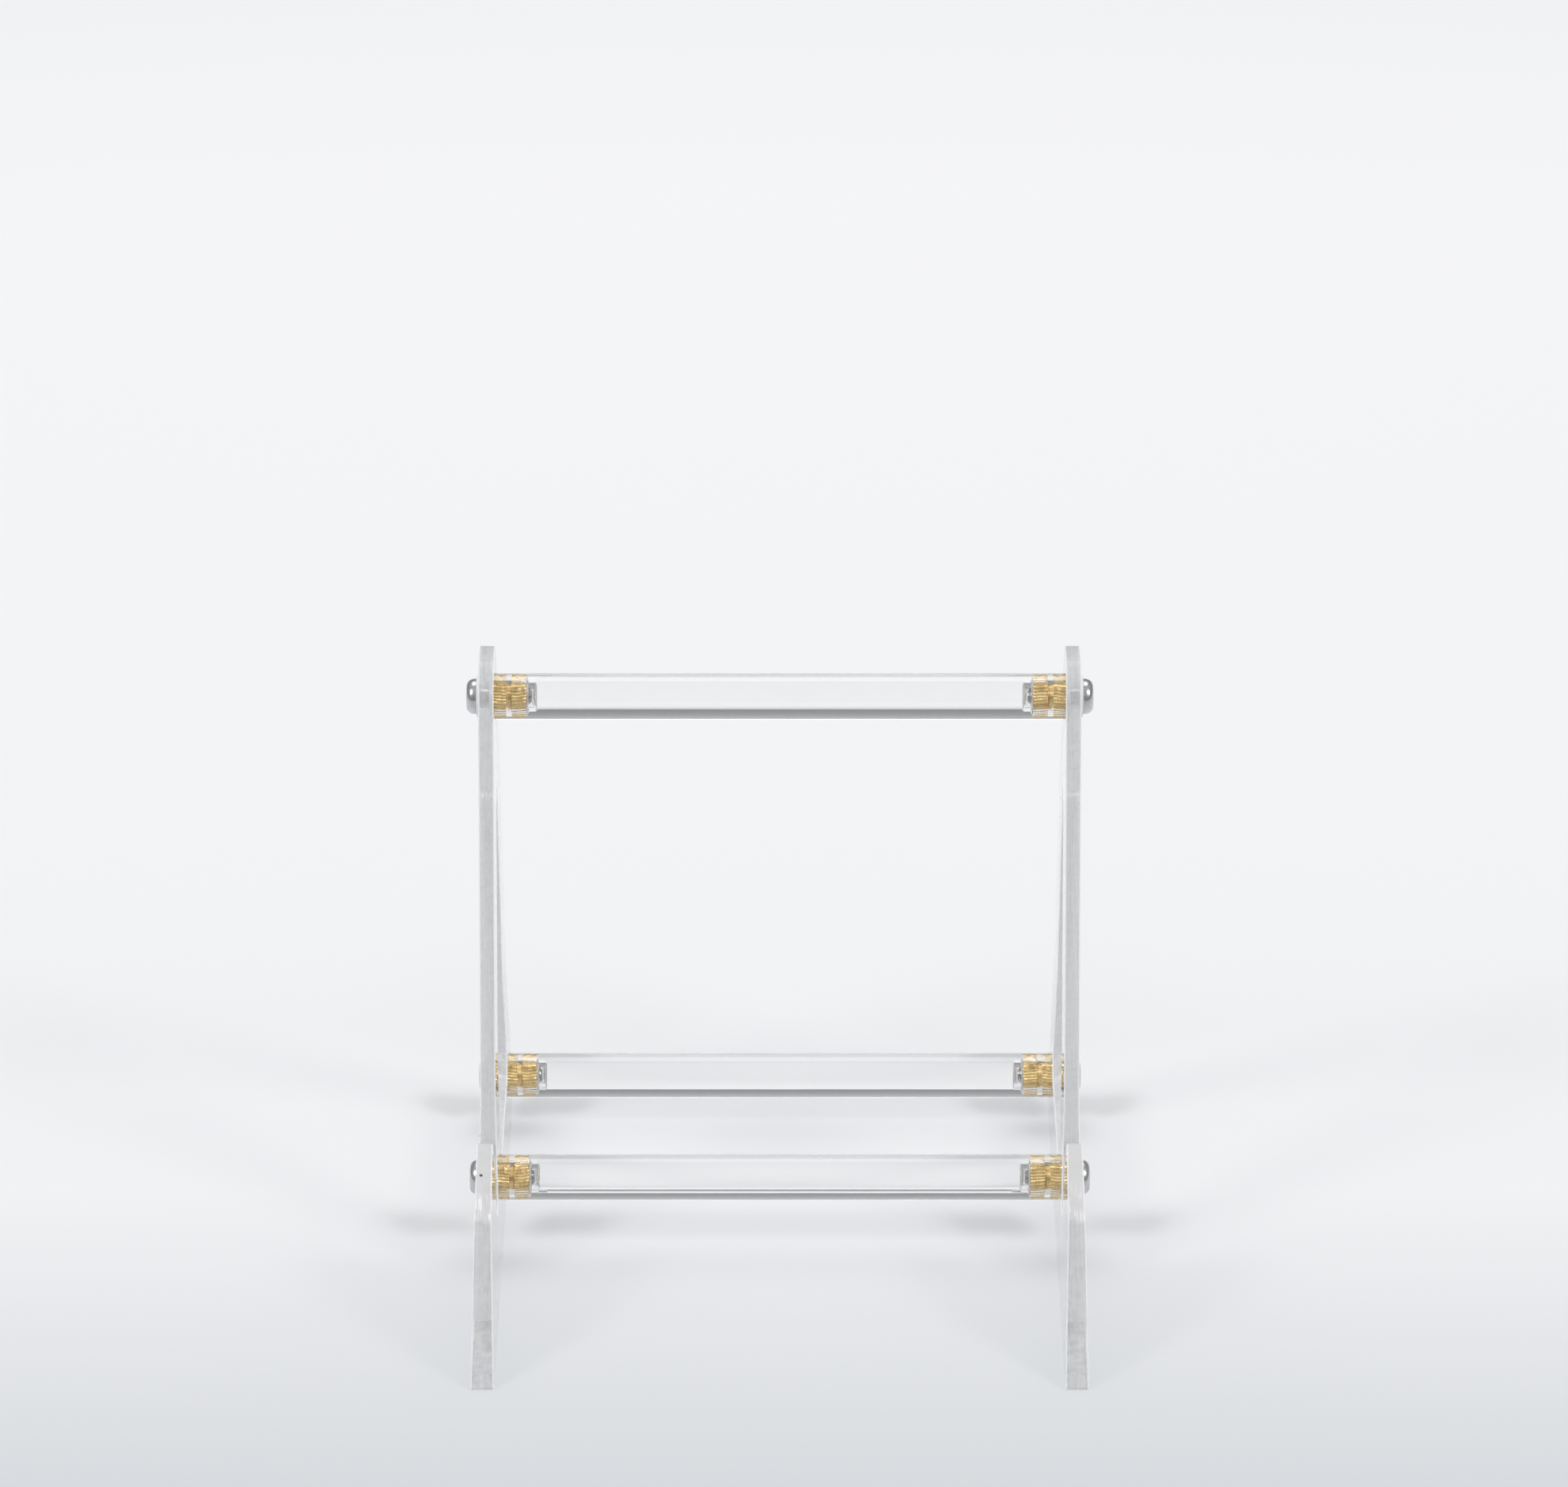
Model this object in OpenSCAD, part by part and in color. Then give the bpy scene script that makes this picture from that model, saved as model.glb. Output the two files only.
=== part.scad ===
// Plate display stand of clear acrylic, in millimetres.
// Two upright side frames stand edge-on to the viewer and are held apart by three round crossbars.
// Each side frame has a sloping front arm with a lip, a notch for the plate's rim and a back rest.
// Origin: on the floor, midway between the side frames and midway from front to back. Front is -Y.

/* [Overall size] */
// Distance between the middles of the two side frames
frame_spacing = 125; // [100:1:160]
// Length of a side frame along the floor, before its corners are rounded
frame_depth = 130; // [124:1:145]
// Height of the back rests
frame_height = 128; // [122:1:140]

/* [Side frame] */
// Thickness of a side frame at the floor
foot_thickness = 5; // [4.6:0.1:6]
// Slope of each side face, which thins the frame from the floor up to the top of the lip
draft_angle = 1.2; // [0.8:0.05:1.3]
// Width of the back rest strut
rest_strut_width = 14; // [13:0.5:16]
// Width of the rear leg
rear_leg_width = 12.5; // [12:0.5:15]
// Height of the rail along the floor
floor_rail_height = 16; // [15:0.5:18]

/* [Front arm] */
// Lean of the front arm's face from upright
arm_lean = 30; // [24:1:34]
// Height at which the arm's face bends back to form the lip
bend_height = 30.8; // [28:0.1:32]
// Slope of the lip's top face above level
lip_slope = 25.5; // [15:0.5:30]
// Length of the lip's top face, before its tip is rounded
lip_length = 22; // [20:0.5:23]
// Lean of the lip's back face, towards the viewer at the top
lip_back_lean = 12.3; // [8:0.1:15]
// Radius of the lip's tip
tip_radius = 2.5; // [1.5:0.1:3]

/* [Plate notch] */
// Lean of the back rest from upright
rest_lean = 18; // [14:0.5:20]
// Height of the notch's floor
notch_height = 17; // [16:0.5:20]
// Radius of the notch's floor
notch_radius = 3.5; // [3:0.1:4.5]

/* [Crossbars and fasteners] */
// Diameter of a crossbar
bar_diameter = 10; // [9:0.5:11]
// Acrylic left between a crossbar's end and the washer
clamped_web = 2.1; // [1.6:0.1:2.2]
// Thread size of the screws
screw_diameter = 4; // [3:0.5:4]
// Length of a screw under its head
screw_length = 12; // [10:1:16]

/* [Hidden] */
$fn = 64;
ARC_STEPS = 10;
CLEAR = [0.86, 0.92, 0.95, 0.45];
STEEL = [0.72, 0.73, 0.75];
BRASS = [0.80, 0.64, 0.30];
NYLON = [0.93, 0.93, 0.90];

// Side frame outline: depth runs back from the front of the foot, height runs up from the floor
corner_radius = 0.5;
rear_foot_radius = 3;
rest_top_radius = 6.5;
window_radius = 6;
window_root_radius = 9;
window_apex_radius = 3.5;
rear_lean = 13.7;

bend = [bend_height * tan(arm_lean), bend_height];
lip_tip = bend + lip_length * [cos(lip_slope), sin(lip_slope)];

// The lip's back and the back rest's front meet in a V; its round floor fixes how deep the V goes
notch_half_angle = (rest_lean + lip_back_lean) / 2;
v_height = notch_height - notch_radius * (1 / sin(notch_half_angle) - 1);
notch_v = [lip_tip.x + (lip_tip.y - v_height) * tan(lip_back_lean), v_height];

function rest_front(height) = notch_v.x + (height - notch_v.y) * tan(rest_lean);
function rear_back(height) = frame_depth - height * tan(rear_lean);
function window_front(height) = rest_front(height) + rest_strut_width / cos(rest_lean);
function window_rear(height) = rear_back(height) - rear_leg_width / cos(rear_lean);

window_apex_height = (window_rear(0) - window_front(0)) / (tan(rest_lean) + tan(rear_lean));

// Corners are [depth, height, radius]
OUTLINE = [
    [0, 0, corner_radius],
    [bend.x, bend.y, tip_radius],
    [lip_tip.x, lip_tip.y, tip_radius],
    [notch_v.x, notch_v.y, notch_radius],
    [rest_front(frame_height), frame_height, rest_top_radius],
    [rear_back(frame_height), frame_height, rest_top_radius],
    [frame_depth, 0, rear_foot_radius],
];
WINDOW = [
    [window_front(floor_rail_height), floor_rail_height, window_root_radius],
    [window_front(window_apex_height), window_apex_height, window_apex_radius],
    [window_rear(floor_rail_height), floor_rail_height, window_radius],
];

// Side frame thickness
taper_height = lip_tip.y;
top_thickness = foot_thickness - 2 * taper_height * tan(draft_angle);

// Crossbars as [depth, height]: at the back rest's root, in the heel and in the back rest's head
lower_bar_height = 16.5;
lower_bar_setback = 14.2;
rear_bar_height = 11;
rear_bar_inset = 12;
upper_bar_drop = 10;
upper_bar_height = frame_height - upper_bar_drop;
LOWER_BAR = [rest_front(lower_bar_height) + lower_bar_setback, lower_bar_height];
REAR_BAR = [frame_depth - rear_bar_inset, rear_bar_height];
UPPER_BAR = [(rest_front(upper_bar_height) + rear_back(upper_bar_height)) / 2, upper_bar_height];
BARS = [LOWER_BAR, REAR_BAR, UPPER_BAR];

// Stack along X at each bar end: socket floor, web, washer, screw head
fit_gap = 0.05;
washer_recess = 0.2;
cut_through = 1;
hole_clearance = 0.4;
washer_clearance = 0.3;
recess_clearance = 1;
washer_seat_x = (frame_spacing + top_thickness) / 2 - washer_recess;
socket_floor_x = washer_seat_x - clamped_web;
hole_diameter = screw_diameter + hole_clearance;
washer_diameter = 9;
washer_bore = screw_diameter + washer_clearance;
washer_thickness = 0.8;
washer_recess_diameter = washer_diameter + recess_clearance;
head_radius = 3.8;
head_flat_radius = 2.3;
head_shoulder = head_radius - head_flat_radius;
head_rim = 0.35;
head_height = 2.2;
hex_key = 2.5;
hex_depth = 1.3;
insert_diameter = 6;
insert_length = 8;
tip_room = 0.9;
head_seat_x = washer_seat_x + washer_thickness;
screw_tip_x = head_seat_x - screw_length;

function unit(v) = v / norm(v);

// Points along the round corner at p, between its neighbours in the outline
function round_corner(before, p, after, radius) =
    let (
        to_before = unit(before - p),
        to_after = unit(after - p),
        half = acos(to_before * to_after) / 2,
        centre = p + unit(to_before + to_after) * radius / sin(half),
        first = p + to_before * radius / tan(half) - centre,
        last = p + to_after * radius / tan(half) - centre,
        start = atan2(first.y, first.x),
        sweep = (atan2(last.y, last.x) - start + 540) % 360 - 180
    )
    [for (i = [0:ARC_STEPS])
        let (angle = start + sweep * i / ARC_STEPS)
        centre + radius * [cos(angle), sin(angle)]];

function xy(corner) = [corner.x, corner.y];

function rounded(corners) =
    let (count = len(corners))
    [for (i = [0:count - 1])
        let (
            before = corners[(i + count - 1) % count],
            after = corners[(i + 1) % count]
        )
        each round_corner(xy(before), xy(corners[i]), xy(after), corners[i].z)];

// Side view of a side frame, extruded to stand in the YZ plane
module standing_profile(width) {
    translate([-width / 2, -frame_depth / 2, 0])
        rotate([90, 0, 90])
            linear_extrude(width)
                difference() {
                    polygon(rounded(OUTLINE));
                    polygon(rounded(WINDOW));
                }
}

// Front view of a side frame: it thins from the floor to the lip's height, then stays parallel
module thickness_section() {
    foot = foot_thickness / 2;
    top = top_thickness / 2;
    translate([0, frame_depth / 2, 0])
        rotate([90, 0, 0])
            linear_extrude(frame_depth)
                polygon([
                    [-foot, 0], [foot, 0], [top, taper_height], [top, frame_height],
                    [-top, frame_height], [-top, taper_height],
                ]);
}

// A round shape along +X, centred on a crossbar's axis
module along_bar(bar, x, diameter, length) {
    translate([x, bar.x - frame_depth / 2, bar.y])
        rotate([0, 90, 0])
            cylinder(d = diameter, h = length);
}

// The side frame on the +X side, with a blind socket, a screw hole and a washer seat for each bar
module side_frame() {
    color(CLEAR)
        difference() {
            translate([frame_spacing / 2, 0, 0])
                intersection() {
                    standing_profile(foot_thickness);
                    thickness_section();
                }
            for (bar = BARS) {
                along_bar(
                    bar, socket_floor_x - foot_thickness, bar_diameter + 2 * fit_gap, foot_thickness
                );
                along_bar(bar, socket_floor_x - cut_through, hole_diameter, foot_thickness);
                along_bar(bar, washer_seat_x, washer_recess_diameter, foot_thickness);
            }
        }
}

// A clear rod, drilled at each end for a threaded insert with room beyond it for the screw's tip
module crossbar(bar) {
    color(CLEAR)
        difference() {
            along_bar(bar, -socket_floor_x, bar_diameter, 2 * socket_floor_x);
            for (side = [0, 1])
                mirror([side, 0, 0]) {
                    along_bar(
                        bar, socket_floor_x - insert_length,
                        insert_diameter + 2 * fit_gap, insert_length + cut_through
                    );
                    along_bar(bar, screw_tip_x - tip_room, hole_diameter, insert_length);
                }
        }
}

// Repeats a part at both ends of all three bars
module at_bar_ends() {
    for (side = [0, 1], bar_index = [0:len(BARS) - 1])
        mirror([side, 0, 0]) {
            $bar = BARS[bar_index];
            children();
        }
}

module side_frame_right() {
    side_frame();
}

module side_frame_left() {
    mirror([1, 0, 0])
        side_frame();
}

module lower_crossbar() {
    crossbar(LOWER_BAR);
}

module rear_crossbar() {
    crossbar(REAR_BAR);
}

module upper_crossbar() {
    crossbar(UPPER_BAR);
}

// Brass inserts, flush with the bars' ends
module threaded_inserts() {
    color(BRASS)
        at_bar_ends()
            difference() {
                along_bar($bar, socket_floor_x - insert_length, insert_diameter, insert_length);
                along_bar(
                    $bar, socket_floor_x - insert_length - cut_through,
                    screw_diameter + 2 * fit_gap, insert_length + 2 * cut_through
                );
            }
}

// Button-head screws with a hexagon socket
module crossbar_screws() {
    color(STEEL)
        at_bar_ends()
            translate([head_seat_x, $bar.x - frame_depth / 2, $bar.y])
                rotate([0, 90, 0])
                    difference() {
                        union() {
                            rotate_extrude()
                                polygon([
                                    [0, 0], [head_radius, 0],
                                    for (angle = [0:90 / ARC_STEPS:90])
                                        [
                                            head_flat_radius + head_shoulder * cos(angle),
                                            head_rim + (head_height - head_rim) * sin(angle),
                                        ],
                                    [0, head_height],
                                ]);
                            translate([0, 0, -screw_length])
                                cylinder(d = screw_diameter, h = screw_length + head_height / 2);
                        }
                        translate([0, 0, head_height - hex_depth])
                            cylinder(d = hex_key / cos(30), h = head_height, $fn = 6);
                    }
}

// Translucent plastic washers between the screw heads and the acrylic
module screw_washers() {
    color(NYLON)
        at_bar_ends()
            difference() {
                along_bar($bar, washer_seat_x, washer_diameter, washer_thickness);
                along_bar(
                    $bar, washer_seat_x - cut_through, washer_bore, washer_thickness + 2 * cut_through
                );
            }
}

side_frame_left();
side_frame_right();
lower_crossbar();
rear_crossbar();
upper_crossbar();
threaded_inserts();
crossbar_screws();
screw_washers();
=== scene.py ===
"""Looks of the clear acrylic plate stand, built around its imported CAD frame. Lengths are in metres."""

import math

import bmesh
import bpy
from mathutils import Matrix, Vector


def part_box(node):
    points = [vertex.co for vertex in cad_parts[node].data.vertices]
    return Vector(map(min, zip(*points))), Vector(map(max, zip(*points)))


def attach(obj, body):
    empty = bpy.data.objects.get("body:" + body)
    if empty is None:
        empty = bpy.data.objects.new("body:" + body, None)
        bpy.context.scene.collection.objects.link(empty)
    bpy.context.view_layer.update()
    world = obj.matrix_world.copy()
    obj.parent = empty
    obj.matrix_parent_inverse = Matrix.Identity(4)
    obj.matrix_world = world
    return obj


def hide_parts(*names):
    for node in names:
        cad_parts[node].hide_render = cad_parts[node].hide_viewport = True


MM = 0.001

# Edges sharper than this stay sharp, and faces that look this squarely sideways are shaded flat
SMOOTH_ANGLE = math.radians(35)
FLAT_SIDE = 0.99

# Side frames and crossbars: chamfers, and the hairline gap left where two clear parts touch
ARRIS = 0.25 * MM
RIM_ARRIS = 0.08 * MM
BAR_ARRIS = 0.3 * MM
CONTACT_GAP = 0.03 * MM
RIM_REACH = 1.06  # in bar radii from a bar's axis: every rim of its holes lies within this
WELD_DISTANCE = 0.002 * MM
FLAT_ANGLE = math.radians(0.5)

# M4 button-head screws
THREAD_CREST = 2.0 * MM
THREAD_ROOT = 1.6 * MM
THREAD_PITCH = 0.7 * MM
THREAD_STEEPNESS = 1.3
THREAD_FLAT = 0.15
SCREW_LENGTH = 12 * MM
SCREW_POINT = 0.5 * MM
NECK_LENGTH = 0.6 * MM
HEAD_FLAT = 2.3 * MM
HEAD_RIM = 0.35 * MM
KEY_RADIUS = 1.25 * MM
KEY_DEPTH = 1.3 * MM
KEY_CHAMFER = 0.12 * MM
KEY_TIP_RADIUS = 0.3 * MM
HEAD_EDGE = 0.1 * MM
RINGS_PER_TURN = 8
RING_POINTS = 48
DOME_STEPS = 10
BAR_SPIN = math.radians(23)
END_SPIN = math.radians(37)

# Knurled brass inserts: two bands that slope opposite ways and bite into the bar, and a groove between them
INSERT_LENGTH = 8 * MM
INSERT_BORE = 2.04 * MM
INSERT_END = 0.4 * MM
KNURL_TEETH = 32
KNURL_BITE = 0.15 * MM
KNURL_DEPTH = 0.22 * MM
KNURL_SLOPE = 0.12 / MM
KNURL_BAND = 3.0 * MM
BAND_STEPS = 12
GROOVE_DEPTH = 0.45 * MM
GROOVE_WALL = 0.1 * MM

# Washers
WASHER_THICKNESS = 0.8 * MM
WASHER_BORE = 2.15 * MM
WASHER_EDGE = 0.15 * MM
WASHER_EDGE_STEPS = 3

# Camera: a long lens above the front of the stand, aimed at the middle of the plate that it holds
LENS_MM = 179.8
SENSOR_MM = 36.0
NEAR_CLIP = 0.05
CAMERA_ELEVATION = math.radians(26.3)
CAMERA_DISTANCE = 1.661
AIM = Vector((0.0009, 0.010, 0.1147))

# Lamps: a small one on each side in front, which gives each foot its V of shadows, and a wide one behind
LAMP_TARGET = Vector((0, 0, 0.06))
SIDE_LAMP_X = 1.2
SIDE_LAMP_Y = -0.7
SIDE_LAMP_HEIGHT = 1.3
SIDE_LAMP_SIZE = (0.45, 0.45)
SIDE_LAMP_POWER = 11.5
REAR_LAMP_PLACE = (0, 1.0, 1.8)
REAR_LAMP_SIZE = (1.6, 1.0)
REAR_LAMP_POWER = 10.0

# Floor sheet
FLOOR_SIZE = 8.0
FLOOR_DROP = 0.05 * MM

# Where the lip starts on a side frame, how far back the notch behind it is, and how high the clear foot goes
LIP_BEND_HEIGHT = 30.8 * MM
NOTCH_DEPTH = -20 * MM
CLEAR_FOOT_HEIGHT = 12 * MM

# A dark pit in the left lip
PIT = Vector((-63.1, -36.5, 35.9)) * MM
PIT_RADIUS = 0.35 * MM

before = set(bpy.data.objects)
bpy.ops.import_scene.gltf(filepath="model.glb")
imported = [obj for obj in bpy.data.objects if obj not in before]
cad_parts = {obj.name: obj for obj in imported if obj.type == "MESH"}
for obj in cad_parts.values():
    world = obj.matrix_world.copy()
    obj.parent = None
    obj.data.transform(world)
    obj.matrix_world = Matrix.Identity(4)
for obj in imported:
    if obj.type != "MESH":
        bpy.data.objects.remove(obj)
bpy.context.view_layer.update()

BAR_NODES = ("lower_crossbar", "rear_crossbar", "upper_crossbar")


def bar_axis(node):
    """(y, z) of a crossbar's axis."""
    low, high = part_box(node)
    middle = (low + high) / 2
    return middle.y, middle.z


BAR_AXES = [bar_axis(node) for node in BAR_NODES]
UPPER_AXIS_HEIGHT = BAR_AXES[-1][1]
BAR_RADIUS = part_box("upper_crossbar")[1].z - UPPER_AXIS_HEIGHT


def add_object(name, data):
    """A new object in the scene that shows a mesh, lamp or camera."""
    obj = bpy.data.objects.new(name, data)
    bpy.context.scene.collection.objects.link(obj)
    return obj


# ---------------------------------------------------------------- materials

# Acrylic, clear and where it is hazy, scratched, pitted or dusty; its chamfers carry a painted white
# highlight
ACRYLIC_TINT = (0.985, 0.99, 0.99, 1.0)
ACRYLIC_IOR = 1.491
ARM_HAZE = (0.665, 0.665, 0.67, 1.0)
LIP_HAZE = (0.70, 0.69, 0.68, 1.0)
# White of the scratches, and also the painted highlight on the chamfers
SCRATCH_AND_HIGHLIGHT_WHITE = (0.97, 0.97, 0.98, 1.0)
PIT_BROWN = (0.035, 0.022, 0.015, 1.0)
DUST_GREY = (0.46, 0.43, 0.40, 1.0)
DUST_SCALE = 700.0

# What is left of the room's and the lamps' light after one clear surface
ROOM_LIGHT_TINT = (0.97, 0.972, 0.975, 1.0)
LAMP_LIGHT_TINT = (0.87, 0.875, 0.885, 1.0)

# Fasteners
DULL_BRASS = (0.60, 0.40, 0.15, 1.0)
BRIGHT_BRASS = (0.86, 0.67, 0.34, 1.0)
DARK_STEEL = (0.50, 0.51, 0.52, 1.0)
LIGHT_STEEL = (0.70, 0.70, 0.71, 1.0)
WARM_NYLON = (0.80, 0.80, 0.75, 1.0)
PALE_NYLON = (0.90, 0.90, 0.87, 1.0)
NYLON_SCATTER = (2 * MM, 2 * MM, 1.8 * MM)

# Floor, with painted shade that makes it darker towards the viewer, and room
NEAR_FLOOR_PAINTED_SHADE = (0.62, 0.64, 0.66, 1.0)
MIDDLE_FLOOR_PAINTED_SHADE = (0.845, 0.848, 0.858, 1.0)
FAR_FLOOR = (0.97, 0.97, 0.975, 1.0)
ROOM_COLOUR = (0.97, 0.98, 1.0, 1.0)
HORIZON_STRENGTH = 0.25
OVERHEAD_STRENGTH = 0.50


class Nodes:
    """Short calls for building the node tree of a material or of the world."""

    def __init__(self, owner, output="ShaderNodeOutputMaterial"):
        owner.use_nodes = True
        self.owner = owner
        self.tree = owner.node_tree
        self.tree.nodes.clear()
        self.output = self.add(output)

    def add(self, kind, inputs=None, **settings):
        node = self.tree.nodes.new(kind)
        for key, value in settings.items():
            setattr(node, key, value)
        for key, value in (inputs or {}).items():
            if isinstance(value, bpy.types.NodeSocket):
                self.tree.links.new(value, node.inputs[key])
            else:
                node.inputs[key].default_value = value
        return node

    def math(self, operation, a, b=0.0):
        return self.add("ShaderNodeMath", {0: a, 1: b}, operation=operation).outputs[0]

    def times(self, *factors):
        """The product of all the factors."""
        product = factors[0]
        for factor in factors[1:]:
            product = self.math("MULTIPLY", product, factor)
        return product

    def position(self, scale=(1, 1, 1)):
        geometry = self.add("ShaderNodeNewGeometry")
        mapping = self.add("ShaderNodeMapping", {"Vector": geometry.outputs["Position"], "Scale": scale})
        return mapping.outputs["Vector"]

    def axis(self, vector, letter):
        return self.add("ShaderNodeSeparateXYZ", {0: vector}).outputs[letter]

    def noise(self, vector, scale, detail=3.0):
        inputs = {"Vector": vector, "Scale": scale, "Detail": detail}
        return self.add("ShaderNodeTexNoise", inputs).outputs["Fac"]

    def remap(self, value, low, high, to_low=0.0, to_high=1.0):
        inputs = {"Value": value, "From Min": low, "From Max": high, "To Min": to_low, "To Max": to_high}
        return self.add("ShaderNodeMapRange", inputs, clamp=True).outputs["Result"]

    def bump(self, height, distance, strength=1.0):
        inputs = {"Height": height, "Distance": distance, "Strength": strength}
        return self.add("ShaderNodeBump", inputs).outputs["Normal"]

    def blend(self, share, first, second):
        """A colour between two colours."""
        return self.add("ShaderNodeMixRGB", {0: share, 1: first, 2: second}).outputs[0]

    def mix(self, share, first, second):
        """A shader between two shaders."""
        return self.add("ShaderNodeMixShader", {0: share, 1: first, 2: second}).outputs[0]

    def principled(self, **inputs):
        named = {key.replace("_", " "): value for key, value in inputs.items()}
        return self.add("ShaderNodeBsdfPrincipled", named).outputs[0]

    def finish(self, shader):
        self.tree.links.new(shader, self.output.inputs["Surface"])
        return self.owner


def new_material(name):
    return Nodes(bpy.data.materials.new(name))


def light_passes(n, shader):
    """Lets the light of the room and the lamps straight through, so that clear parts cast faint shadows."""
    room_light = n.add("ShaderNodeBsdfTransparent", {"Color": ROOM_LIGHT_TINT}).outputs[0]
    lamp_light = n.add("ShaderNodeBsdfTransparent", {"Color": LAMP_LIGHT_TINT}).outputs[0]
    rays = n.add("ShaderNodeLightPath").outputs
    shader = n.mix(rays["Is Diffuse Ray"], shader, room_light)
    return n.mix(rays["Is Shadow Ray"], shader, lamp_light)


def arris_highlight_mask(n, sideways):
    """1 on the chamfers, which lie at 45 degrees between the cut edges and the side faces; there a white
    highlight is painted.
    """
    off_arris = n.math("ABSOLUTE", n.math("SUBTRACT", sideways, math.sqrt(0.5)))
    return n.remap(off_arris, 0.10, 0.18, 1.0, 0.0)


def scuff_mask(n, height, lip, foot, blotches):
    """Patches of fine upright scratches, low on the lips and fainter at the toes."""
    low_on_lip = n.remap(height, LIP_BEND_HEIGHT + 2.5 * MM, LIP_BEND_HEIGHT + 5 * MM, 1.0, 0.0)
    low_on_foot = n.remap(height, 0.5 * MM, 7 * MM, 0.55, 0.0)
    worn = n.math("MAXIMUM", n.times(low_on_lip, lip), n.times(low_on_foot, foot))
    scratches = n.noise(n.position((1, 0.03, 0.03)), 4200.0, 2.0)
    return n.times(n.remap(scratches, 0.45, 0.62), n.remap(blotches, 0.38, 0.58), worn)


def pit_mask(n):
    """1 inside the dark pit in the left lip."""
    to_pit = n.add("ShaderNodeVectorMath", {0: n.position(), 1: PIT}, operation="DISTANCE")
    return n.remap(to_pit.outputs["Value"], PIT_RADIUS * 0.8, PIT_RADIUS * 1.2, 1.0, 0.0)


def dust_mask(n):
    """Small round specks, in a few of the cells of a fine grid."""
    grid = n.add("ShaderNodeTexVoronoi", {"Vector": n.position(), "Scale": DUST_SCALE})
    chosen = n.remap(n.axis(grid.outputs["Color"], "X"), 0.975, 0.98)
    return n.times(chosen, n.remap(grid.outputs["Distance"], 0.10, 0.16, 1.0, 0.0))


def cut_acrylic():
    """Clear acrylic sheet: glossy sides, hazy cut edges, white arrises that are a painted highlight, toes
    painted lighter towards the floor, scuffs, dust and one dark pit.
    """
    n = new_material("clear_acrylic")
    geometry = n.add("ShaderNodeNewGeometry")
    sideways = n.math("ABSOLUTE", n.axis(geometry.outputs["True Normal"], "X"))
    edge = n.remap(sideways, 0.35, 0.6, 1.0, 0.0)
    # Painted highlight: the chamfers get a white frost that stands for the glints along them
    arris_highlight = arris_highlight_mask(n, sideways)

    streaks = n.noise(n.position((1, 0.05, 0.05)), 2400.0, 3.0)
    blotches = n.noise(n.position(), 380.0, 2.0)
    height = n.axis(geometry.outputs["Position"], "Z")
    depth = n.axis(geometry.outputs["Position"], "Y")
    ahead = n.remap(depth, NOTCH_DEPTH - 1 * MM, NOTCH_DEPTH + 1 * MM, 1.0, 0.0)
    front = n.times(ahead, edge)
    above_bend = n.remap(height, LIP_BEND_HEIGHT - 0.3 * MM, LIP_BEND_HEIGHT + 0.3 * MM)
    lip = n.times(above_bend, front)
    ragged = n.math("ADD", height, n.remap(blotches, 0.3, 0.7, -0.7 * MM, 0.7 * MM))
    above_foot = n.remap(ragged, CLEAR_FOOT_HEIGHT, CLEAR_FOOT_HEIGHT + 1 * MM)
    scuff = scuff_mask(n, height, lip, front, blotches)
    pit = pit_mask(n)
    dust = dust_mask(n)

    side_rough = n.remap(n.noise(n.position(), 90.0, 2.0), 0.35, 0.7, 0.004, 0.02)
    satin = n.remap(n.math("ADD", blotches, streaks), 0.8, 1.2, 0.08, 0.24)
    edge_rough = n.times(edge, satin, n.remap(above_foot, 0.0, 1.0, 0.6, 1.0))
    clear = n.principled(
        Base_Color=ACRYLIC_TINT,
        Roughness=n.math("ADD", side_rough, edge_rough),
        IOR=ACRYLIC_IOR,
        Transmission_Weight=1.0,
        Normal=n.bump(n.times(streaks, edge), 0.015 * MM, 0.4),
    )

    haze_and_highlight = n.blend(lip, ARM_HAZE, LIP_HAZE)
    # Scratches turn white, and so do the chamfers, where the white is a painted highlight
    haze_and_highlight = n.blend(n.math("MAXIMUM", scuff, arris_highlight), haze_and_highlight, SCRATCH_AND_HIGHLIGHT_WHITE)
    haze_and_highlight = n.blend(dust, haze_and_highlight, DUST_GREY)
    frosted = n.principled(Base_Color=n.blend(pit, haze_and_highlight, PIT_BROWN), Roughness=0.55)

    # Painted light: the toes are frosted more towards the floor, so that they look lighter near it
    toe_haze_and_painted_light = n.remap(height, 1 * MM, 8 * MM, 0.42, 0.14)
    edge_haze_and_painted_light = n.math("MAXIMUM", toe_haze_and_painted_light, n.times(above_foot, 0.55))
    uneven = n.remap(n.math("ADD", streaks, blotches), 0.8, 1.2, 0.85, 1.15)
    share = n.times(edge, edge_haze_and_painted_light, uneven)
    # The chamfers' painted highlight is mixed in almost fully
    for mask, strength in ((lip, 0.62), (scuff, 0.75), (pit, 1.0), (arris_highlight, 0.95), (dust, 0.6)):
        share = n.math("MAXIMUM", share, n.times(mask, strength))
    return n.finish(light_passes(n, n.mix(share, clear, frosted)))


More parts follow.
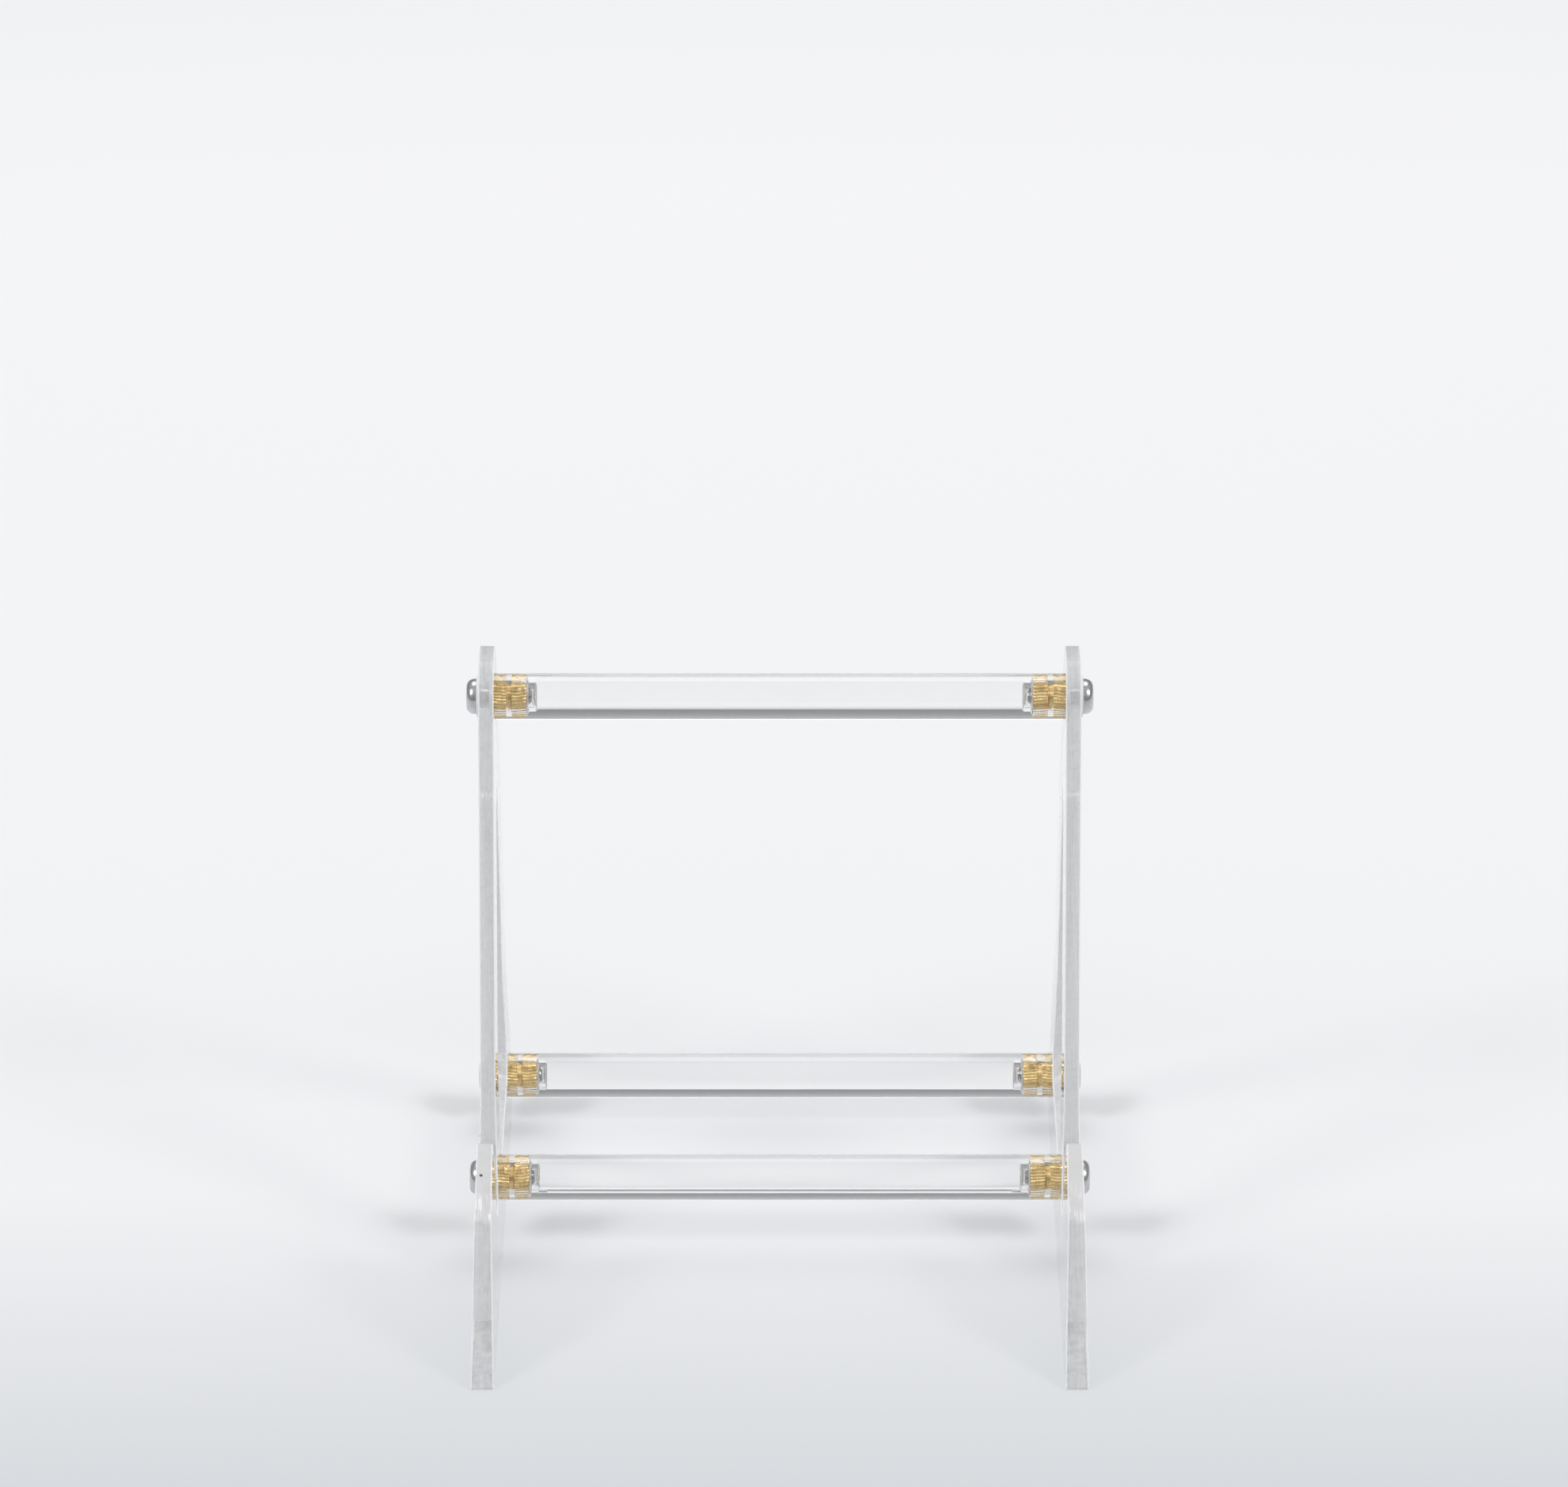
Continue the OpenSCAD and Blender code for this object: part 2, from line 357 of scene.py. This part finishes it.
def clear_rod():
    """Drawn clear acrylic rod: faint lengthwise lines, and sawn ends with a satin chamfer."""
    n = new_material("clear_rod")
    geometry = n.add("ShaderNodeNewGeometry")
    sideways = n.math("ABSOLUTE", n.axis(geometry.outputs["True Normal"], "X"))
    end = n.remap(sideways, 0.3, 0.6)
    lines = n.noise(n.position((0.02, 1, 1)), 1800.0, 2.0)
    skin_rough = n.remap(n.noise(n.position(), 120.0, 2.0), 0.35, 0.7, 0.006, 0.03)
    clear = n.principled(
        Base_Color=ACRYLIC_TINT,
        Roughness=n.math("ADD", skin_rough, n.times(end, 0.2)),
        IOR=ACRYLIC_IOR,
        Transmission_Weight=1.0,
        Normal=n.bump(lines, 0.01 * MM, 0.3),
    )
    frosted = n.principled(Base_Color=LIP_HAZE, Roughness=0.5)
    return n.finish(light_passes(n, n.mix(n.times(end, 0.4), clear, frosted)))


def machined_brass():
    """Turned brass with fine lines round its axis and slightly dull patches."""
    n = new_material("machined_brass")
    turning = n.noise(n.position((3.0, 0.3, 0.3)), 2000.0)
    dulled = n.noise(n.position(), 700.0, 2.0)
    tone = n.math("ADD", n.times(turning, 0.5), n.times(dulled, 0.5))
    return n.finish(n.principled(
        Base_Color=n.blend(n.remap(tone, 0.35, 0.65), DULL_BRASS, BRIGHT_BRASS),
        Metallic=1.0,
        Roughness=n.remap(dulled, 0.3, 0.7, 0.30, 0.42),
        Normal=n.bump(turning, 0.004 * MM, 0.3),
    ))


def stainless_steel():
    """Stainless steel with turning marks and a soft sheen."""
    n = new_material("stainless_steel")
    turning = n.noise(n.position((3.0, 1, 1)), 3000.0, 2.0)
    tone = n.noise(n.position(), 1200.0)
    return n.finish(n.principled(
        Base_Color=n.blend(tone, DARK_STEEL, LIGHT_STEEL),
        Metallic=1.0,
        Roughness=n.remap(turning, 0.3, 0.7, 0.16, 0.32),
        Normal=n.bump(turning, 0.01 * MM, 0.4),
    ))


def natural_nylon():
    """Natural nylon: off-white, milky and faintly mottled."""
    n = new_material("natural_nylon")
    mottle = n.noise(n.position(), 1500.0)
    return n.finish(n.principled(
        Base_Color=n.blend(mottle, WARM_NYLON, PALE_NYLON),
        Roughness=n.remap(mottle, 0.3, 0.7, 0.35, 0.55),
        Subsurface_Weight=0.4,
        Subsurface_Radius=NYLON_SCATTER,
        Subsurface_Scale=1.0,
        Normal=n.bump(mottle, 0.01 * MM, 0.3),
    ))


def pale_floor_painted_shade():
    """Pale paper, with painted shade that makes it darker towards the viewer."""
    n = new_material("pale_floor_painted_shade")
    depth = n.axis(n.position(), "Y")
    grain = n.noise(n.position(), 900.0, 2.0)
    # Painted shade: the paper darkens from the middle towards the viewer, and is palest far back
    paper = n.blend(n.remap(depth, -0.12, 0.02), NEAR_FLOOR_PAINTED_SHADE, MIDDLE_FLOOR_PAINTED_SHADE)
    paper = n.blend(n.remap(depth, 0.05, 0.60), paper, FAR_FLOOR)
    return n.finish(n.principled(
        Base_Color=paper,
        Roughness=0.9,
        Specular_IOR_Level=0.1,
        Normal=n.bump(grain, 0.02 * MM, 0.2),
    ))


# ---------------------------------------------------------------- clear parts


def near_bar(point):
    """True on the rim or wall of a hole that a crossbar or its screw sits in."""
    reach = BAR_RADIUS * RIM_REACH
    return any(math.hypot(point.y - y, point.z - z) < reach for y, z in BAR_AXES)


def cad_mesh(node):
    """The CAD node's shape with its triangles joined into flat faces."""
    bm = bmesh.new()
    bm.from_mesh(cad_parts[node].data)
    bmesh.ops.remove_doubles(bm, verts=bm.verts, dist=WELD_DISTANCE)
    bmesh.ops.dissolve_limit(bm, angle_limit=FLAT_ANGLE, verts=bm.verts, edges=bm.edges)
    bmesh.ops.recalc_face_normals(bm, faces=bm.faces)
    return bm


def chamfer_edges(bm, width, chosen):
    """Chamfers the sharp edges whose middle satisfies chosen."""
    edges = [
        e for e in bm.edges
        if len(e.link_faces) == 2
        and e.calc_face_angle(0.0) > SMOOTH_ANGLE
        and chosen((e.verts[0].co + e.verts[1].co) / 2)
    ]
    bmesh.ops.bevel(
        bm, geom=edges, offset=width, offset_type="OFFSET", segments=1, profile=0.5,
        affect="EDGES", clamp_overlap=False,
    )


def make_piece(name, bm, material, node):
    """Turns bm into a piece that takes the place of a CAD node, which it hides, and rides on the one body.
    """
    mesh = bpy.data.meshes.new(name)
    bm.to_mesh(mesh)
    bm.free()
    mesh.shade_smooth()
    mesh.set_sharp_from_angle(angle=SMOOTH_ANGLE)
    for face in mesh.polygons:
        face.use_smooth = abs(face.normal.x) < FLAT_SIDE
    mesh.materials.append(material)
    obj = add_object(name, mesh)
    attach(obj, "root")
    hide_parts(node)


def side_frame(side, material):
    node = f"side_frame_{side}"
    bm = cad_mesh(node)
    chamfer_edges(bm, ARRIS, lambda point: not near_bar(point))
    chamfer_edges(bm, RIM_ARRIS, near_bar)
    make_piece(f"{node}_polished", bm, material, node)


def crossbar(node, material):
    bm = cad_mesh(node)
    chamfer_edges(bm, BAR_ARRIS, lambda point: True)
    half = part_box(node)[1].x
    bmesh.ops.scale(bm, vec=(1 - CONTACT_GAP / half, 1, 1), verts=bm.verts)
    make_piece(f"{node}_polished", bm, material, node)


# ---------------------------------------------------------------- fasteners

# The stack at a bar's end: the socket's floor, then the face of the washer that the head sits on
SOCKET_FLOOR_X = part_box("threaded_inserts")[1].x
HEAD_SEAT_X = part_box("screw_washers")[1].x
HEAD_TOP_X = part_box("crossbar_screws")[1].x
HEAD_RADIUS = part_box("crossbar_screws")[1].z - UPPER_AXIS_HEIGHT
WASHER_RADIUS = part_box("screw_washers")[1].z - UPPER_AXIS_HEIGHT
INSERT_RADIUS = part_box("threaded_inserts")[1].z - UPPER_AXIS_HEIGHT


def span(start, stop, count):
    """Evenly spaced values from start to stop."""
    return [start + (stop - start) * i / count for i in range(count + 1)]


def ring(x, radius, points=RING_POINTS):
    """Points round the X axis. The radius is a number, or a function of the angle."""
    angles = [2 * math.pi * i / points for i in range(points)]
    reach = radius if callable(radius) else lambda angle: radius
    return [(x, reach(a) * math.cos(a), reach(a) * math.sin(a)) for a in angles]


def loft(rings, joined=False):
    """A closed surface through the rings. Its ends are capped, or joined to each other."""
    bm = bmesh.new()
    loops = [[bm.verts.new(point) for point in points] for points in rings]
    pairs = list(zip(loops, loops[1:]))
    if joined:
        pairs.append((loops[-1], loops[0]))
    else:
        bm.faces.new(loops[0])
        bm.faces.new(loops[-1])
    for first, second in pairs:
        for i in range(len(first)):
            j = (i + 1) % len(first)
            bm.faces.new((first[i], first[j], second[j], second[i]))
    bmesh.ops.recalc_face_normals(bm, faces=bm.faces)
    return bm


def at_bar_ends(shape):
    """One mesh with a copy of shape, which lies along the X axis, at both ends of every crossbar."""
    single = bpy.data.meshes.new("single")
    shape.to_mesh(single)
    shape.free()
    group = bmesh.new()
    for bar_index, (y, z) in enumerate(BAR_AXES):
        for end in (0, 1):
            spin = Matrix.Rotation(BAR_SPIN * bar_index + END_SPIN * end, 4, "X")
            turn = Matrix.Rotation(math.pi * end, 4, "Z")
            copy = single.copy()
            copy.transform(Matrix.Translation((0, y, z)) @ turn @ spin)
            group.from_mesh(copy)
            bpy.data.meshes.remove(copy)
    bpy.data.meshes.remove(single)
    return group


def thread_radius(x, start):
    """Radius of the thread at x, as a function of the angle: crests wind round the axis."""
    def radius(angle):
        turns = (x - start) / THREAD_PITCH - angle / (2 * math.pi)
        ridge = 1 - abs(2 * (turns % 1) - 1)
        share = min(max(THREAD_STEEPNESS * ridge - THREAD_FLAT, 0), 1)
        full = THREAD_ROOT + (THREAD_CREST - THREAD_ROOT) * share
        return min(full, THREAD_CREST - SCREW_POINT + (x - start))
    return radius


def key_radius(flat):
    """Radius of a hexagon whose flats are that far from the axis, as a function of the angle."""
    side = math.pi / 3
    return lambda angle: flat / math.cos(angle % side - side / 2)


def screw():
    """A button-head screw: wound thread, plain neck, domed head and hexagon socket."""
    tip_x = HEAD_SEAT_X - SCREW_LENGTH
    neck_x = HEAD_SEAT_X - NECK_LENGTH
    steps = round(RINGS_PER_TURN * (neck_x - tip_x) / THREAD_PITCH)
    rings = [ring(x, thread_radius(x, tip_x)) for x in span(tip_x, neck_x, steps)]
    rings += [
        ring(neck_x + HEAD_EDGE, THREAD_ROOT),
        ring(HEAD_SEAT_X, THREAD_ROOT),
        ring(HEAD_SEAT_X, HEAD_RADIUS - HEAD_EDGE),
        ring(HEAD_SEAT_X + HEAD_EDGE, HEAD_RADIUS),
    ]
    dome_height = HEAD_TOP_X - HEAD_SEAT_X - HEAD_RIM
    for angle in span(0, math.pi / 2, DOME_STEPS):
        radius = HEAD_FLAT + (HEAD_RADIUS - HEAD_FLAT) * math.cos(angle)
        rings.append(ring(HEAD_SEAT_X + HEAD_RIM + dome_height * math.sin(angle), radius))
    rings += [
        ring(HEAD_TOP_X, key_radius(KEY_RADIUS + KEY_CHAMFER)),
        ring(HEAD_TOP_X - KEY_CHAMFER, key_radius(KEY_RADIUS)),
        ring(HEAD_TOP_X - KEY_DEPTH, key_radius(KEY_RADIUS)),
        ring(HEAD_TOP_X - KEY_DEPTH - KEY_TIP_RADIUS, KEY_TIP_RADIUS),
    ]
    return loft(rings)


def knurl_radius(x, slope):
    """Radius of a knurled band at x, as a function of the angle: sharp teeth on a slope."""
    crest = INSERT_RADIUS + KNURL_BITE
    def radius(angle):
        turns = angle * KNURL_TEETH / (2 * math.pi) + slope * x
        return crest - KNURL_DEPTH * abs(2 * (turns % 1) - 1)
    return radius


def insert():
    """A knurled brass insert with a bored middle."""
    points = 4 * KNURL_TEETH
    outer_x = SOCKET_FLOOR_X - CONTACT_GAP
    inner_x = outer_x - INSERT_LENGTH
    chamfer = INSERT_END / 2
    plain = INSERT_RADIUS - chamfer / 2
    first_band = span(inner_x + INSERT_END, inner_x + INSERT_END + KNURL_BAND, BAND_STEPS)
    second_band = span(outer_x - INSERT_END - KNURL_BAND, outer_x - INSERT_END, BAND_STEPS)
    rings = [
        ring(inner_x, INSERT_BORE, points),
        ring(inner_x, plain - chamfer, points),
        ring(inner_x + chamfer, plain, points),
    ]
    rings += [ring(x, knurl_radius(x, KNURL_SLOPE), points) for x in first_band]
    rings += [
        ring(first_band[-1] + GROOVE_WALL, INSERT_RADIUS - GROOVE_DEPTH, points),
        ring(second_band[0] - GROOVE_WALL, INSERT_RADIUS - GROOVE_DEPTH, points),
    ]
    rings += [ring(x, knurl_radius(x, -KNURL_SLOPE), points) for x in second_band]
    rings += [
        ring(outer_x - chamfer, plain, points),
        ring(outer_x, plain - chamfer, points),
        ring(outer_x, INSERT_BORE, points),
    ]
    return loft(rings, joined=True)


def washer():
    """A flat washer with softened edges, a hair off the acrylic under it."""
    inner_x = HEAD_SEAT_X - WASHER_THICKNESS + CONTACT_GAP
    middle_x = (inner_x + HEAD_SEAT_X) / 2
    middle_radius = (WASHER_BORE + WASHER_RADIUS) / 2
    flat_x = HEAD_SEAT_X - middle_x - WASHER_EDGE
    flat_radius = WASHER_RADIUS - middle_radius - WASHER_EDGE
    rings = []
    for quarter in range(4):
        start = quarter * math.pi / 2
        side_x = math.copysign(flat_x, math.cos(start + math.pi / 4))
        side_radius = math.copysign(flat_radius, math.sin(start + math.pi / 4))
        for angle in span(start, start + math.pi / 2, WASHER_EDGE_STEPS):
            x = middle_x + side_x + WASHER_EDGE * math.cos(angle)
            rings.append(ring(x, middle_radius + side_radius + WASHER_EDGE * math.sin(angle)))
    return loft(rings, joined=True)


ACRYLIC = cut_acrylic()
ROD = clear_rod()

for side in ("left", "right"):
    side_frame(side, ACRYLIC)
for node in BAR_NODES:
    crossbar(node, ROD)
for node, shape, material, slot in (
    ("threaded_inserts", insert(), machined_brass(), "insert_brass"),
    ("crossbar_screws", screw(), stainless_steel(), "screw_steel"),
    ("screw_washers", washer(), natural_nylon(), "washer_nylon"),
):
    make_piece(f"{node}_detailed", at_bar_ends(shape), material, node)


# ---------------------------------------------------------------- stage, light and camera


def floor_sheet():
    """A large flat sheet, a hair below the stand."""
    bm = bmesh.new()
    bmesh.ops.create_grid(bm, x_segments=1, y_segments=1, size=FLOOR_SIZE / 2)
    mesh = bpy.data.meshes.new("floor")
    bm.to_mesh(mesh)
    bm.free()
    mesh.materials.append(pale_floor_painted_shade())
    obj = add_object("floor", mesh)
    obj.location.z = -FLOOR_DROP


def soft_box(name, place, size, power):
    """A soft lamp that faces the stand."""
    lamp = bpy.data.lights.new(name, "AREA")
    lamp.shape = "RECTANGLE"
    lamp.size, lamp.size_y = size
    lamp.energy = power
    obj = add_object(name, lamp)
    obj.location = place
    obj.rotation_euler = (LAMP_TARGET - Vector(place)).to_track_quat("-Z", "Y").to_euler()


def studio_world():
    """A pale room that is brightest overhead."""
    n = Nodes(bpy.data.worlds.new("studio"), "ShaderNodeOutputWorld")
    direction = n.add("ShaderNodeTexCoord").outputs["Generated"]
    strength = n.remap(n.axis(direction, "Z"), 0.0, 0.8, HORIZON_STRENGTH, OVERHEAD_STRENGTH)
    room = n.add("ShaderNodeBackground", {"Color": ROOM_COLOUR, "Strength": strength})
    return n.finish(room.outputs[0])


def front_camera():
    """The camera, at the viewing angle in front of the stand."""
    lens = bpy.data.cameras.new("camera")
    lens.lens = LENS_MM
    lens.sensor_width = SENSOR_MM
    lens.clip_start = NEAR_CLIP
    obj = add_object("camera", lens)
    view_back = Vector((0, -math.cos(CAMERA_ELEVATION), math.sin(CAMERA_ELEVATION)))
    obj.location = AIM + view_back * CAMERA_DISTANCE
    obj.rotation_mode = "QUATERNION"
    obj.rotation_quaternion = (-view_back).to_track_quat("-Z", "Y")
    return obj


floor_sheet()
for sign in (-1, 1):
    place = (SIDE_LAMP_X * sign, SIDE_LAMP_Y, SIDE_LAMP_HEIGHT)
    soft_box(f"soft_box_{sign}", place, SIDE_LAMP_SIZE, SIDE_LAMP_POWER)
soft_box("soft_box_behind", REAR_LAMP_PLACE, REAR_LAMP_SIZE, REAR_LAMP_POWER)

scene = bpy.context.scene
scene.world = studio_world()
scene.camera = front_camera()
scene.view_settings.view_transform = "Standard"
scene.cycles.max_bounces = 32
scene.cycles.transmission_bounces = 32
scene.cycles.glossy_bounces = 16
scene.cycles.transparent_max_bounces = 32
scene.cycles.caustics_reflective = False
scene.cycles.caustics_refractive = False
scene.cycles.use_denoising = True
